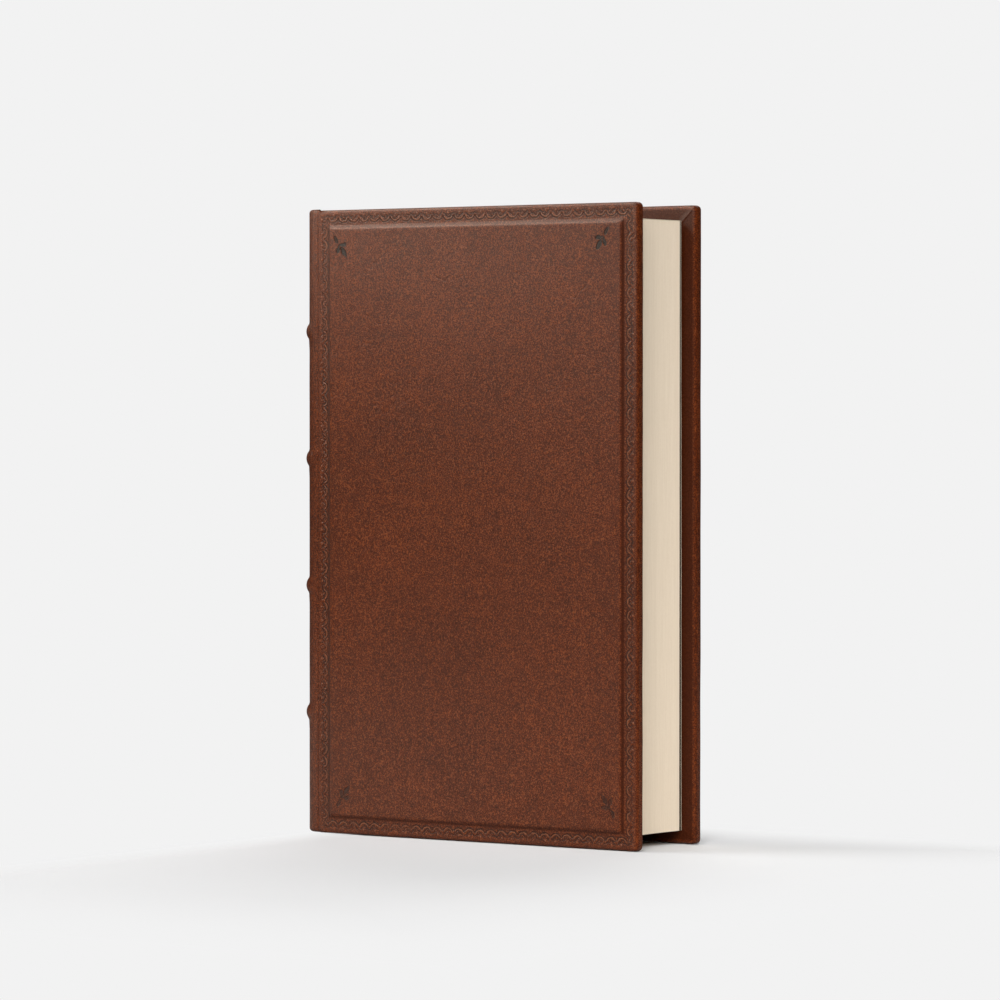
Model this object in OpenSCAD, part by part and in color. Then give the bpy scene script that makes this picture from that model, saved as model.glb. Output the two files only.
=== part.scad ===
// Leather-bound journal standing on the tail edges of its covers, in millimetres.
// X runs from the spine (-X) to the fore-edge (+X), Y from the front cover to the back cover, Z up.
// The working frame has x = 0 at the joint creases and y = 0 at the front cover's border face.

/* [Covers] */
// Height of the covers
cover_h = 210; // [150:1:300]
// Width of a cover from its joint crease to the fore-edge
cover_w = 130; // [90:1:220]
// Thickness of the board inside a cover
board_t = 2; // [1.5:0.1:4]
// Radius of the leather over the edges of a board
edge_r = 1; // [0.5:0.1:1.5]
// Radius of a cover's two corners at the fore-edge
corner_r = 1.6; // [1:0.1:4]

/* [Leather] */
// Thickness of the leather on the outer faces and the edges
leather_t = 1; // [0.6:0.1:1.2]
// Thickness of the pared leather where it is turned in
turn_in_t = 0.6; // [0.3:0.1:1]
// Width of the leather turned in on the inner face of a cover
turn_in_w = 14; // [10:0.5:20]
// Depth of the leather turned in behind the spine at head and tail
cap_turn_in = 12; // [8:0.5:18]

/* [Raised panel] */
// Width of the flat border round the panel at the joint side
border_joint = 4.6; // [3.5:0.1:10]
// Width of the flat border at the fore-edge, the head and the tail
border_w = 5.2; // [4:0.1:10]
// Height of the panel above its border
panel_rise = 0.8; // [0.3:0.1:1]
// Width of the slope between the border and the panel
bevel_w = 1.3; // [0.8:0.1:3]

/* [Paper] */
// Thickness of the pages together
pages_t = 28; // [22:0.5:60]
// Thickness of an endpaper sheet
sheet_t = 0.25; // [0.2:0.05:0.4]
// How far the covers stand past the pages at the head
head_square = 5; // [3:0.1:7]
// How far the covers stand past the pages at the tail
tail_square = 4.4; // [3:0.1:7]
// How far the covers stand past the pages at the fore-edge
fore_square = 5.2; // [3:0.1:8]
// Depth of the slight hollow of the fore-edge
fore_hollow = 0.8; // [0.3:0.1:3]
// Width of the flat strip on each side of that hollow
fore_land = 0.5; // [0.3:0.1:3]
// Width of turned-in leather that shows beside a pasted endpaper
paste_margin = 7; // [4:0.1:9]
// Gap between the front pasted endpaper and the front flyleaf
front_gap = 0.35; // [0.3:0.05:1]
// Gap between the back flyleaf and the back pasted endpaper, as the back cover gapes a little
back_gap = 0.9; // [0.3:0.05:0.9]
// Gap between the pages and the back flyleaf, which stands off them
fly_gap = 0.4; // [0.3:0.05:0.8]

/* [Spine] */
// How far the spine bulges past the joint creases, between the bands
spine_rise = 9; // [8.4:0.1:12]
// Radius of the two shoulders of the spine
shoulder_r = 6.2; // [5.6:0.1:6.8]
// Straight length of the spine's flanks at the joints
flank = 0.8; // [0.6:0.1:1.2]
// How far the flanks lie below the covers' border faces
flank_drop = 0.5; // [0.4:0.1:0.8]
// Half the width of the joint crease on the cover side
crease_gap = 0.4; // [0.3:0.1:0.8]
// Half the width of the joint crease on the spine side
crease_side = 0.2; // [0.15:0.05:0.5]
// Distance of a board's spine edge from its joint crease
board_setback = 1; // [0.8:0.1:3]
// Thickness of the stiff card that lines the spine leather
liner_t = 0.8; // [0.5:0.1:1]
// Thickness of the cloth that lines the sewn back of the pages
lining_t = 0.4; // [0.2:0.05:0.5]
// How far the leather over the spine's head stands above the covers
cap_stand = 0.4; // [0:0.1:1.5]
// Clearance between the turned-in leather and the cloth lining
back_clear = 0.1; // [0.1:0.05:0.3]
// How far the cloth lining stops short of the pages at head and tail
lining_short = 8; // [3:0.5:20]

/* [Raised bands] */
// Height of the lowest band above the tail edge
band_first = 40.6; // [25:0.1:60]
// Distance between the middles of two bands
band_pitch = 42.9; // [25:0.1:60]
// Height of a band above the spine
band_rise = 1.5; // [0.8:0.1:1.6]
// Radius over the top of a band
band_top_r = 3; // [2.8:0.1:4]
// Radius of the hollow where a band runs into the spine
band_cove_r = 1.5; // [1:0.1:2]

/* [End bands] */
// Height of the bound strip at each end of the pages' back
end_band_r = 1.1; // [0.8:0.1:1.5]

/* [Hidden] */
$fn = 96;
eps = 0.01;
band_count = 4;

// Thickness of a finished cover at its border, and the heights of its layers
cover_t = leather_t + board_t + turn_in_t;
board_face = leather_t + board_t;
paste_face = cover_t + sheet_t;

// Places of the sheets and pages across the thickness
front_fly_y = paste_face + front_gap;
pages_y = front_fly_y + sheet_t;
back_fly_y = pages_y + pages_t + fly_gap;
book_t = back_fly_y + sheet_t + back_gap + paste_face;
half_t = book_t / 2;

// Places of the pages along the width and the height
pages_x = cover_w - fore_square;
pages_low = tail_square;
pages_high = cover_h - head_square;

// Depths of the spine's layers below its outer face
cap_in_at = leather_t + liner_t;
lining_at = cap_in_at + turn_in_t + back_clear;
pages_at = lining_at + lining_t;

// Round of the leather over the spine's ends, and the height of its straight part
cap_r = (leather_t + liner_t + turn_in_t) / 2;
spine_h = cover_h + cap_stand;

// Round of the leather over the boards, limited by the leather it is cut in
edge_round = min(edge_r, leather_t + turn_in_t);

// Slope of the panel's sides, and how far the card under the leather steps in from it
bevel_angle = atan2(panel_rise, bevel_w);
card_inset = leather_t * tan(bevel_angle / 2);

// Middle of the bounding box along X
frame_x = (cover_w - spine_rise - band_rise) / 2;

// Steps of the curves that are built of flat facets
shoulder_steps = 6;
crown_steps = 10;
top_steps = 3;
cove_steps = 2;
cap_steps = 6;
end_band_steps = 3;

// Room that the glue under the leather takes
skin_ease = 0.05;
// Share of a band's height below which its strip ends
core_end = 0.3;

leather_colour = [0.36, 0.17, 0.08];
paper_colour = [0.87, 0.81, 0.71];
card_colour = [0.55, 0.52, 0.47];
cloth_colour = [0.9, 0.88, 0.82];
end_band_colour = [0.78, 0.68, 0.5];

// Basket arch of the spine: a crown arc and two shoulder arcs, tangent to each other, on straight flanks

lift = spine_rise - flank;
shoulder_gap = half_t - flank_drop - shoulder_r;
crown_r = (lift * lift + shoulder_gap * shoulder_gap - shoulder_r * shoulder_r)
    / (2 * (lift - shoulder_r));
crown_angle = asin(shoulder_gap / (crown_r - shoulder_r));

// Stations along the arch of the spine, from flank to flank: point, outward normal, share of a band's
// height. The bands keep their full height over the crown and fade out over the shoulders.

function station(centre, radius, angle, share) =
    let (normal = [-cos(angle), -sin(angle)])
    [centre + radius * normal, normal, share];

function fade(angle) = pow(cos(angle) / cos(crown_angle), 2);

low_centre = [-flank, flank_drop + shoulder_r];
high_centre = [-flank, book_t - flank_drop - shoulder_r];
crown_centre = [crown_r - spine_rise, half_t];

low_shoulder = [
    for (i = [0:shoulder_steps])
        let (angle = 90 - i * (90 - crown_angle) / shoulder_steps)
        station(low_centre, shoulder_r, angle, fade(angle))
];
crown = [
    for (i = [1:crown_steps - 1])
        let (angle = crown_angle - i * 2 * crown_angle / crown_steps)
        station(crown_centre, crown_r, angle, 1)
];
high_shoulder = [
    for (i = [0:shoulder_steps])
        let (angle = -crown_angle - i * (90 - crown_angle) / shoulder_steps)
        station(high_centre, shoulder_r, angle, fade(angle))
];
arch_stations = concat(
    [[[-crease_side, flank_drop], [0, -1], 0]],
    low_shoulder,
    crown,
    high_shoulder,
    [[[-crease_side, book_t - flank_drop], [0, 1], 0]]
);

// Layer of the spine between two depths, drawn as an area
module arch_layer(outer, inner) {
    last = len(arch_stations) - 1;
    polygon(concat(
        [for (s = arch_stations) s[0] - outer * s[1]],
        [for (i = [last:-1:0]) arch_stations[i][0] - inner * arch_stations[i][1]]
    ));
}

// Sweeps a ribbon along stations. Its outer and inner points lie across from each other, and each is its
// depth below the spine's face, the height that a band adds there, and its z.
module arch_sweep(outer, inner, stations) {
    width = len(outer);
    count = 2 * width;
    last = (len(stations) - 1) * count;
    profile = concat(outer, [for (j = [width - 1:-1:0]) inner[j]]);
    points = [
        for (s = stations)
            for (p = profile)
                let (place = s[0] + (s[2] * p[1] - p[0]) * s[1])
                [place.x, place.y, p[2]]
    ];
    sides = [
        for (i = [0:count:last - count])
            for (j = [0:count - 1])
                let (a = i + j, b = i + (j + 1) % count)
                for (face = [[a, b, b + count], [a, b + count, a + count]])
                    face
    ];
    ends = [
        for (j = [0:width - 2])
            let (a = j, b = j + 1, c = count - 2 - j, d = count - 1 - j)
            for (face = [[d, c, b, a], [last + a, last + b, last + c, last + d]])
                face
    ];
    polyhedron(points = points, faces = concat(sides, ends));
}

// Rows of points over a band, each its z, height and slope. A round top runs through a hollow into the spine.

band_angle = acos(1 - band_rise / (band_top_r + band_cove_r));
band_foot = (band_top_r + band_cove_r) * sin(band_angle);

function top_row(angle) =
    [band_top_r * sin(angle), band_rise - band_top_r * (1 - cos(angle)), angle];

function cove_row(side, angle) =
    [side * (band_foot - band_cove_r * sin(angle)), band_cove_r * (1 - cos(angle)), side * angle];

// The same row on the inner side of leather of thickness t
function under_row(row, t) =
    [row[0] - t * sin(row[2]), row[1] + t * (1 - cos(row[2])), row[2]];

top_rows = [for (i = [-top_steps:top_steps]) top_row(i * band_angle / top_steps)];
band_rows = concat(
    [for (i = [0:cove_steps - 1]) cove_row(-1, i * band_angle / cove_steps)],
    top_rows,
    [for (i = [cove_steps - 1:-1:0]) cove_row(1, i * band_angle / cove_steps)]
);

function band_z(i) = band_first + i * band_pitch;

// Points of the spine's head end as those of its tail end, in the opposite order
function as_tail(points) = [
    for (i = [len(points) - 1:-1:0])
        [points[i][0], points[i][1], spine_h - points[i][2]]
];

// Pages and endpapers

module text_block() {
    half = pages_t / 2 - fore_land;
    hollow_r = (half * half + fore_hollow * fore_hollow) / (2 * fore_hollow);
    color(paper_colour)
        translate([0, 0, pages_low])
            linear_extrude(height = pages_high - pages_low)
                difference() {
                    polygon(concat(
                        [[pages_x, pages_y], [0, pages_y], [0, flank_drop + pages_at]],
                        [for (s = arch_stations) s[0] - pages_at * s[1]],
                        [[0, book_t - flank_drop - pages_at], [0, pages_y + pages_t]],
                        [[pages_x, pages_y + pages_t]]
                    ));
                    translate([pages_x + hollow_r - fore_hollow, pages_y + pages_t / 2])
                        circle(r = hollow_r, $fn = 720);
                }
}

module flyleaf(y) {
    color(paper_colour)
        translate([0, y, pages_low])
            cube([pages_x, sheet_t, pages_high - pages_low]);
}

module spine_lining() {
    color(cloth_colour)
        translate([0, 0, pages_low + lining_short])
            linear_extrude(height = pages_high - pages_low - 2 * lining_short)
                arch_layer(lining_at, pages_at);
}

// Bound strip on the end of the pages' back, drawn as the head one
module end_band() {
    half = [
        for (i = [0:end_band_steps])
            let (angle = i * 90 / end_band_steps)
            [end_band_r * cos(angle), end_band_r * sin(angle)]
    ];
    color(end_band_colour)
        arch_sweep(
            [for (p = half) [pages_at + end_band_r - p.x, 0, p.y]],
            [for (p = half) [pages_at + end_band_r + p.x, 0, p.y]],
            arch_stations
        );
}

module head_band() {
    translate([0, 0, pages_high])
        end_band();
}

module tail_band() {
    translate([0, 0, pages_low])
        mirror([0, 0, 1])
            end_band();
}

// Spine

module spine_liner() {
    color(card_colour)
        translate([0, 0, cap_r])
            linear_extrude(height = spine_h - 2 * cap_r)
                arch_layer(leather_t, cap_in_at);
}

// Strip of card under the leather of a band
module band_core(i) {
    rows = [for (row = top_rows) under_row(row, leather_t - skin_ease)];
    color(card_colour)
        arch_sweep(
            [for (row = rows) [leather_t, row[1], band_z(i) + row[0]]],
            [for (row = rows) [leather_t - skin_ease, 0, band_z(i) + row[0]]],
            [for (s = arch_stations) if (s[2] > core_end) s]
        );
}

// Leather moulded over the bands, drawn over both ends of the spine and turned in behind its card
module spine_leather() {
    under = leather_t - skin_ease;
    head = spine_h - cap_r;
    outer_head = concat(
        [
            for (i = [0:cap_steps])
                let (angle = i * 180 / cap_steps)
                [cap_r * (1 - cos(angle)), 0, head + cap_r * sin(angle)]
        ],
        [[2 * cap_r, 0, head - cap_turn_in]]
    );
    inner_head = concat(
        [
            for (i = [0:cap_steps])
                let (angle = i * 180 / cap_steps)
                [under + (cap_in_at - under) * i / cap_steps, 0, head + skin_ease * sin(angle)]
        ],
        [[cap_in_at, 0, head - cap_turn_in]]
    );
    outer_bands = [
        for (i = [0:band_count - 1])
            for (row = band_rows)
                [0, row[1], band_z(i) + row[0]]
    ];
    inner_bands = [
        for (i = [0:band_count - 1])
            for (upper = band_rows)
                let (row = under_row(upper, under))
                [under, row[1], band_z(i) + row[0]]
    ];
    color(leather_colour)
        arch_sweep(
            concat(as_tail(outer_head), outer_bands, outer_head),
            concat(as_tail(inner_head), inner_bands, inner_head),
            arch_stations
        );
}

// Covers, drawn as the front one

// Rectangle with its two corners at the far end of x rounded
module end_rounded(length, width, r) {
    translate([0, r])
        square([length, width - 2 * r]);
    square([length - r, width]);
    for (y = [r, width - r])
        translate([length - r, y])
            circle(r = r);
}

module cover_slab() {
    length = cover_w - crease_gap;
    intersection() {
        translate([crease_gap, 0, 0])
            linear_extrude(height = cover_h)
                end_rounded(length, cover_t, edge_round);
        translate([0, cover_t, 0])
            rotate([90, 0, 0])
                linear_extrude(height = cover_t)
                    end_rounded(cover_w, cover_h, corner_r);
        rotate([90, 0, 90])
            linear_extrude(height = cover_w)
                intersection() {
                    rotate(90)
                        translate([0, -cover_t])
                            end_rounded(cover_h, cover_t, edge_round);
                    translate([0, cover_h])
                        rotate(-90)
                            end_rounded(cover_h, cover_t, edge_round);
                }
    }
}

// Raised rectangle with sloping sides, its foot set in by inset at y = foot, on a base of depth base
module bevelled_panel(inset, foot, base) {
    near = border_joint + inset;
    far = cover_w - border_w - inset;
    low = border_w + inset;
    high = cover_h - border_w - inset;
    intersection() {
        linear_extrude(height = cover_h)
            polygon([
                [near, foot + base],
                [near, foot],
                [near + bevel_w, foot - panel_rise],
                [far - bevel_w, foot - panel_rise],
                [far, foot],
                [far, foot + base]
            ]);
        rotate([90, 0, 90])
            linear_extrude(height = cover_w)
                polygon([
                    [foot + base, low],
                    [foot, low],
                    [foot - panel_rise, low + bevel_w],
                    [foot - panel_rise, high - bevel_w],
                    [foot, high],
                    [foot + base, high]
                ]);
    }
}

module cover_board() {
    color(card_colour)
        translate([board_setback, leather_t, leather_t])
            cube([cover_w - leather_t - board_setback, board_t, cover_h - 2 * leather_t]);
}

module cover_panel_card() {
    color(card_colour)
        bevelled_panel(card_inset, leather_t, 0);
}

// Endpaper pasted over the turned-in leather and down into the frame it makes
module cover_pastedown() {
    length = cover_w - board_setback;
    rise = turn_in_t + sheet_t;
    color(paper_colour)
        translate([board_setback, board_face, 0])
            difference() {
                translate([0, 0, paste_margin])
                    cube([length - paste_margin, rise, cover_h - 2 * paste_margin]);
                difference() {
                    translate([-1, -1, 0])
                        cube([length + 1, 1 + turn_in_t, cover_h]);
                    translate([-2, -2, turn_in_w])
                        cube([length + 2 - turn_in_w, 4 + rise, cover_h - 2 * turn_in_w]);
                }
                translate([-1, sheet_t, turn_in_w + sheet_t])
                    cube([
                        length + 1 - turn_in_w - sheet_t,
                        rise,
                        cover_h - 2 * (turn_in_w + sheet_t)
                    ]);
            }
}

// Leather over the outer face and the edges, turned in along head, tail and fore-edge
module cover_leather() {
    color(leather_colour)
        difference() {
            union() {
                cover_slab();
                bevelled_panel(0, 0, leather_t / 2);
            }
            translate([0, leather_t, leather_t])
                cube([cover_w - leather_t, board_t, cover_h - 2 * leather_t]);
            bevelled_panel(card_inset, leather_t, board_t / 2);
            translate([0, board_face - eps, turn_in_w])
                cube([cover_w - turn_in_w, turn_in_t + 1, cover_h - 2 * turn_in_w]);
        }
}

// Places in the whole book

module in_frame() {
    translate([-frame_x, -half_t, 0])
        children();
}

module as_front() {
    in_frame()
        children();
}

module as_back() {
    in_frame()
        translate([0, book_t, 0])
            mirror([0, 1, 0])
                children();
}

in_frame() text_block();
in_frame() flyleaf(front_fly_y);  // front_flyleaf
in_frame() flyleaf(back_fly_y);  // back_flyleaf
in_frame() spine_lining();
in_frame() head_band();
in_frame() tail_band();
in_frame() spine_liner();
in_frame() spine_leather();
in_frame() band_core(0);  // band_core_1
in_frame() band_core(1);  // band_core_2
in_frame() band_core(2);  // band_core_3
in_frame() band_core(3);  // band_core_4
as_front() cover_board();  // front_board
as_front() cover_panel_card();  // front_panel_card
as_front() cover_pastedown();  // front_pastedown
as_front() cover_leather();  // front_leather
as_back() cover_board();  // back_board
as_back() cover_panel_card();  // back_panel_card
as_back() cover_pastedown();  // back_pastedown
as_back() cover_leather();  // back_leather
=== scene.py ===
import math
import bmesh
import bpy
import numpy as np
from mathutils import Matrix, Vector, noise


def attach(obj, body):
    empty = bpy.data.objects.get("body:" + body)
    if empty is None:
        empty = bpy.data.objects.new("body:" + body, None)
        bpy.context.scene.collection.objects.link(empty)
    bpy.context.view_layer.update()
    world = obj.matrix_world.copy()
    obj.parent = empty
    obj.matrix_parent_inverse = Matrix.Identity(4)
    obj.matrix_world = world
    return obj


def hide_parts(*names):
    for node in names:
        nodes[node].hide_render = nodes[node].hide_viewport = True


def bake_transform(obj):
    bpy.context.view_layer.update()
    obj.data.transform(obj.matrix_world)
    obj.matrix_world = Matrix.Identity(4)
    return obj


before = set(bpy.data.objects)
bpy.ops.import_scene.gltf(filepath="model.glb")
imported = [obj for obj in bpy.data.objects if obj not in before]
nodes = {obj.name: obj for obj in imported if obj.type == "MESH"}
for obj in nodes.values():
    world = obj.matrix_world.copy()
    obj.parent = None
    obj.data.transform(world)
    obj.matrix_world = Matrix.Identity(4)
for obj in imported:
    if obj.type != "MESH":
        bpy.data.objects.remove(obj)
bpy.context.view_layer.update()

# Sizes in millimetres, from the joint crease (x), the front border face (y) and the standing edge (z)
book = {
    "coverHeight": 210.0,
    "coverWidth": 130.0,
    "coverThick": 3.6,
    "creaseX": -59.75,      # where the joint creases lie in the frame
    "halfThick": 18.925,
    "boardFace": 3.0,
    "pagesLow": 4.4,
    "pagesHigh": 205.0,
    "pagesEdge": 124.8,
    "pagesBack": 32.45,     # back face of the sewn pages
}
mm = 0.001
bodies = {"block": "book_block", "front": "front_cover", "back": "back_cover"}


def inFrame(points, back=False):
    # the back cover is the front one mirrored through the middle of the book
    p = np.array(points, float).reshape(-1, 3)
    if back:
        p[:, 1] = 2 * book["halfThick"] - p[:, 1]
    return (p + np.array([book["creaseX"], -book["halfThick"], 0])) * mm


def makePiece(name, points, faces, finish, back=False, smooth=True):
    mesh = bpy.data.meshes.new(name)
    if back:
        faces = [tuple(reversed(f)) for f in faces]
    mesh.from_pydata([tuple(p) for p in inFrame(points, back)], [], faces)
    mesh.validate()
    mesh.update()
    if smooth:
        mesh.polygons.foreach_set("use_smooth", [True] * len(mesh.polygons))
    mesh.materials.append(finish)
    piece = bpy.data.objects.new(name, mesh)
    bpy.context.scene.collection.objects.link(piece)
    return piece


def storeValues(piece, name, values):
    layer = piece.data.attributes.new(name, "FLOAT", "POINT")
    layer.data.foreach_set("value", np.array(values, np.float32))


def gridFaces(rows, columns, closed=False):
    faces = []
    for i in range(rows - 1):
        for j in range(columns if closed else columns - 1):
            k = (j + 1) % columns
            faces.append((i * columns + j, i * columns + k, (i + 1) * columns + k, (i + 1) * columns + j))
    return faces


def smoothStep(low, high, value):
    t = np.clip((np.asarray(value, float) - low) / (high - low), 0, 1)
    return t * t * (3 - 2 * t)


def wobble(x, y, z, size, seed):
    return noise.noise(Vector((x / size + seed, y / size - seed, z / size)))


# Colours are written as in a paint box, 0 to 255
def paint(r, g, b):
    def linear(c):
        c /= 255
        return c / 12.92 if c <= 0.04045 else ((c + 0.055) / 1.055) ** 2.4
    return (linear(r), linear(g), linear(b), 1)


class Nodes:
    # shorthand for wiring a material
    def __init__(self, name):
        self.material = bpy.data.materials.new(name)
        self.material.use_nodes = True
        self.tree = self.material.node_tree
        self.shader = self.tree.nodes["Principled BSDF"]
        self.column = 0

    def add(self, kind, **settings):
        node = self.tree.nodes.new(kind)
        self.column += 1
        node.location = (-220 * (self.column % 12) - 300, -180 * (self.column // 12))
        for key, value in settings.items():
            setattr(node, key, value)
        return node

    def link(self, source, target):
        self.tree.links.new(source, target)
        return source

    def feed(self, socket, value):
        if isinstance(value, bpy.types.NodeSocket):
            self.tree.links.new(value, socket)
        else:
            socket.default_value = value

    def maths(self, operation, a, b=None, clamp=False):
        node = self.add("ShaderNodeMath", operation=operation, use_clamp=clamp)
        for socket, value in zip(node.inputs, (a, b)):
            if value is not None:
                self.feed(socket, value)
        return node.outputs[0]

    def plus(self, a, b):
        return self.maths("ADD", a, b)

    def minus(self, a, b):
        return self.maths("SUBTRACT", a, b)

    def times(self, a, b):
        return self.maths("MULTIPLY", a, b)

    def ramp(self, value, low, high, outLow=0.0, outHigh=1.0):
        node = self.add("ShaderNodeMapRange", interpolation_type="SMOOTHSTEP")
        for socket, v in zip(node.inputs, (value, low, high, outLow, outHigh)):
            self.feed(socket, v)
        return node.outputs[0]

    def onLine(self, value, at, low, high):
        # 1 where the value is as on the line, 0 away from it
        return self.ramp(self.maths("ABSOLUTE", self.minus(value, at)), low, high, 1, 0)

    def mix(self, share, a, b):
        node = self.add("ShaderNodeMix", data_type="RGBA")
        self.feed(node.inputs[0], share)
        self.feed(node.inputs[6], a)
        self.feed(node.inputs[7], b)
        return node.outputs[2]

    def pick(self, share, a, b):
        node = self.add("ShaderNodeMix", data_type="FLOAT")
        self.feed(node.inputs[0], share)
        self.feed(node.inputs[2], a)
        self.feed(node.inputs[3], b)
        return node.outputs[0]

    def place(self, stretch=(1, 1, 1)):
        # position in millimetres in the book's own frame
        coordinate = self.add("ShaderNodeTexCoord")
        mapping = self.add("ShaderNodeMapping")
        mapping.inputs["Scale"].default_value = [s / mm for s in stretch]
        self.link(coordinate.outputs["Object"], mapping.inputs["Vector"])
        return mapping.outputs["Vector"]

    def split(self):
        spread = self.add("ShaderNodeSeparateXYZ")
        self.link(self.place(), spread.inputs[0])
        return [spread.outputs[axis] for axis in "XYZ"]

    def noise(self, where, scale, detail=4, roughness=0.5, warp=0.0):
        node = self.add("ShaderNodeTexNoise")
        self.feed(node.inputs["Vector"], where)
        node.inputs["Scale"].default_value = scale
        node.inputs["Detail"].default_value = detail
        node.inputs["Roughness"].default_value = roughness
        node.inputs["Distortion"].default_value = warp
        return node.outputs["Fac"]

    def attribute(self, name):
        return self.add("ShaderNodeAttribute", attribute_name=name).outputs["Fac"]

    def bump(self, height):
        node = self.add("ShaderNodeBump")
        node.inputs["Strength"].default_value = 1
        node.inputs["Distance"].default_value = mm
        self.link(height, node.inputs["Height"])
        return node.outputs["Normal"]

    def finish(self, colour, height, roughness, specular=None):
        self.feed(self.shader.inputs["Base Color"], colour)
        self.feed(self.shader.inputs["Roughness"], roughness)
        if height is not None:
            self.link(self.bump(height), self.shader.inputs["Normal"])
        if specular is not None:
            self.shader.inputs["Specular IOR Level"].default_value = specular
        return self.material


# Leather

leather = {
    "deep": paint(54, 18, 3),
    "middle": paint(84, 31, 6),
    "light": paint(124, 57, 18),
    # the roll's and stamps' impressions: partly the tool's own darkening of the leather, partly painted shade in
    # the hollows
    "tooled": paint(38, 14, 5),
    "stamped": paint(22, 11, 8),
    # pale colour painted on the raised lines of the roll as a highlight
    "ridge": paint(150, 92, 62),
    # a pale colour painted in specks as glints of sheen
    "paintedGlint": paint(160, 86, 46),
    "roughness": 0.38,
    "specular": 0.3,
    "grain": 0.032,            # height of the grain in millimetres
    "rollDepth": 0.2,
    "ridgeShare": 0.6,         # of the roll's depth
    "stampDepth": 0.45,
    # noises: how many to the millimetre, detail, roughness, warp
    "tone": (0.02, 3, 0.55, 0.6),
    "mottle": (0.3, 5, 0.62),
    "pebble": (2.9, 3, 0.75),
    "pores": (0.9, 3, 0.7),
    # where the painted glints fall
    "glintSpots": (1.7, 2, 0.8),
    "marks": (0.16, 3, 0.5, 1.4),
    # what each one adds to the colour's level, and where one colour runs into the next
    "levels": {"tone": 0.45, "mottle": 0.55, "specks": 0.85, "pores": 0.5},
    "toMiddle": (0.8, 1.2),
    "toLight": (1.18, 1.62),
}
cover = {
    "panelFoot": 5.2,
    "jointFoot": 4.6,
    "bevel": (4.95, 6.75),     # where the slope starts and ends, from the edge
    "bevelSteps": 8,
    "panelRise": 0.8,
    "cushion": 0.16,           # how much the panel swells to its middle
    "cushionSpan": (6, 45),
    "edgeRound": 1.0,
    "edgeSteps": 7,
    "cornerRound": 1.6,
    "cornerPoints": 7,
    "jointEdge": 0.6,          # where the cover leather runs into the joint strip
    "turnIn": 14.0,
    "step": 2.5,
    # rings of points, by their distance from the outline
    "panelRings": (58, 46, 36, 28, 21, 16, 12.5, 10, 8.3, 7.4),
    "borderRings": (4.3, 3.3, 2.3, 1.5),
    "pastedRings": (1.6, 2.6, 4, 5.5, 7, 9, 11.5),
    # unevenness of hand work
    "handmade": 0.07,
    "borderWaver": 0.05,
    "edgeWaver": 0.12,
    "mitreRise": 0.14,
}
rollBorder = {
    "period": 8.7,             # a pair of bends
    "middle": 3.2,             # distance of the vine from the cover's edge
    "band": ((1.3, 1.6), (4.85, 5.1)),
    "shake": 1.3,
    # ellipses: middle, halves and turn in millimetres and degrees
    "bowl": ((0, -0.7), (2.1, 1.9)),
    "bowlFrom": (-0.5, 0.1),
    "bowlLine": (1, 0.09, 0.17),
    "bowlRidge": (0.75, 0.06, 0.14),
    "curl": ((0.45, -0.35), (0.62, 0.62)),
    "curlLine": (1, 0.24, 0.44),
    "curlOpen": (-0.75, -0.4),
    "leaves": [((-1.0, -0.75), (0.9, 0.3), 38), ((1.7, -1.05), (0.75, 0.28), -30)],
    "leafEdge": (0.8, 1.2),
    "berry": ((-0.2, -1.45), (0.3, 0.3)),
    "berryEdge": (0.7, 1.3),
}
# painted shade at the foot of the panel's slope: where the line sits, its width, and its strength on the sides
# and ends
panelFootShade = {"from": 0.45, "line": (0.2, 0.6), "sides": 0.85, "ends": 0.4}
fleuron = {
    # distance of its middle from the nearest upright edge and from the head or tail, slope of its axis
    "jointHead": (9.9, 12.0, 52),
    "foreHead": (13.2, 11.3, 57),
    "jointTail": (11.0, 12.4, 54),
    "foreTail": (10.8, 14.0, 54),
    "tipPetal": (2.5, 1.8, 0.7),    # middle along the axis, half length, half width
    "longLeaf": (-2.7, 2.2, 0.9),
    "lobe": ((-0.95, 1.5), (1.1, 0.76), 125),
    "neck": ((-0.15, 0.5), (0.95, 0.4), 128),
    "shake": (1.1, 0.9),
    "vein": (0.04, 0.12),
    "veinRun": (-2.6, -0.8, 0, 0.8),
    "edge": (0.8, 1.1),
    "faint": (20, 190, 0.62, 1),    # the stamps at the tail were pressed more lightly
}


def ellipse(n, u, v, middle, halves, turn=0.0):
    # 0 at the middle, 1 on the outline
    c, s = math.cos(math.radians(turn)), math.sin(math.radians(turn))
    du = n.minus(u, middle[0])
    dv = n.minus(v, middle[1])
    a = n.plus(n.times(du, c / halves[0]), n.times(dv, s / halves[0]))
    b = n.minus(n.times(dv, c / halves[1]), n.times(du, s / halves[1]))
    return n.maths("SQRT", n.plus(n.times(a, a), n.times(b, b)))


def leafShape(n, u, v, middle, halfLong, halfWide):
    # pointed at both ends, 1 on the outline; v is already folded about the axis
    du = n.maths("DIVIDE", n.minus(u, middle), halfLong)
    return n.plus(n.times(du, du), n.maths("DIVIDE", v, halfWide))


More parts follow.
